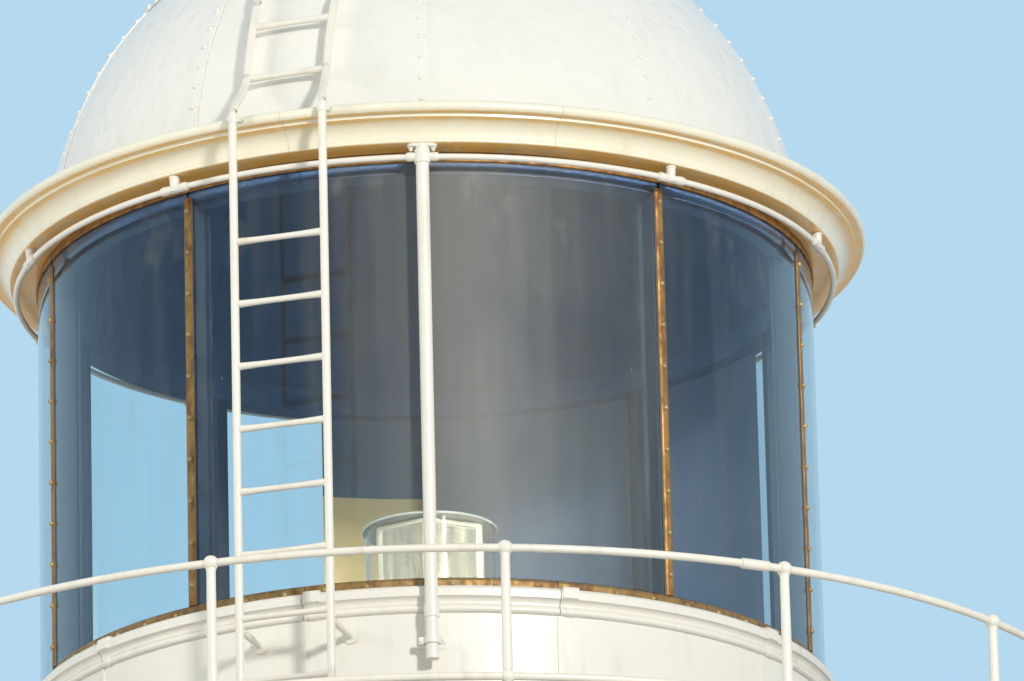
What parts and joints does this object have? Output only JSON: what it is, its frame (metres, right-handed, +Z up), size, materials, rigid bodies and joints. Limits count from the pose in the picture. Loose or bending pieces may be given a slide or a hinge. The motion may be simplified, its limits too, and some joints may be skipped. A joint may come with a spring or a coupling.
{
  "type": "lighthouse lantern",
  "caption": "Lighthouse lantern with a riveted white dome, cream gutter, tall curved panes, iron murette, gallery handrail, outside ladder and a drum beacon",
  "frame": {"origin": "on the lantern's axis, level with the underside of the gallery deck", "axes": "+Z up the lantern's axis, -Y towards the viewer, +X to the viewer's right"},
  "size_m": [6.3798, 6.3798, 6.5707],
  "materials": {
    "white_paint": "satin",
    "cream_paint": "satin",
    "grey_paint": "satin",
    "dark_iron": "satin",
    "gunmetal": "satin",
    "pane_glass": "satin",
    "clear_cover": "satin",
    "lens": "satin",
    "granite": "satin",
    "screen_paint": "satin"
  },
  "bodies": {
    "root": {"gallery_deck": "granite", "lantern_floor": "granite", "murette_panels": "white_paint", "murette_moulding": "white_paint", "sill_ring": "gunmetal", "glazing_bars": "dark_iron", "glass_panes": "pane_glass", "cover_strips": "gunmetal", "head_ring": "cream_paint", "gutter": "cream_paint", "dome_lower_gores": "white_paint", "dome_upper_gores": "white_paint", "crown_ring": "white_paint", "ventilator_drum": "white_paint", "ventilator_cowl": "white_paint", "ventilator_stays": "white_paint", "finial": "white_paint", "ring_rail": "white_paint", "rail_tees": "white_paint", "downpipe": "white_paint", "downpipe_clip": "white_paint", "stanchions": "white_paint", "top_rail": "white_paint", "mid_rail": "white_paint", "ladder_stiles": "white_paint", "ladder_rungs": "white_paint", "dome_ladder_stiles": "white_paint", "dome_ladder_rungs": "white_paint", "ladder_stays": "white_paint", "beacon_pedestal": "grey_paint", "beacon_base": "dark_iron", "beacon_cover": "clear_cover", "beacon_lid": "grey_paint", "lens_panels": "lens", "landward_screens": "screen_paint"}
  },
  "joints": []
}
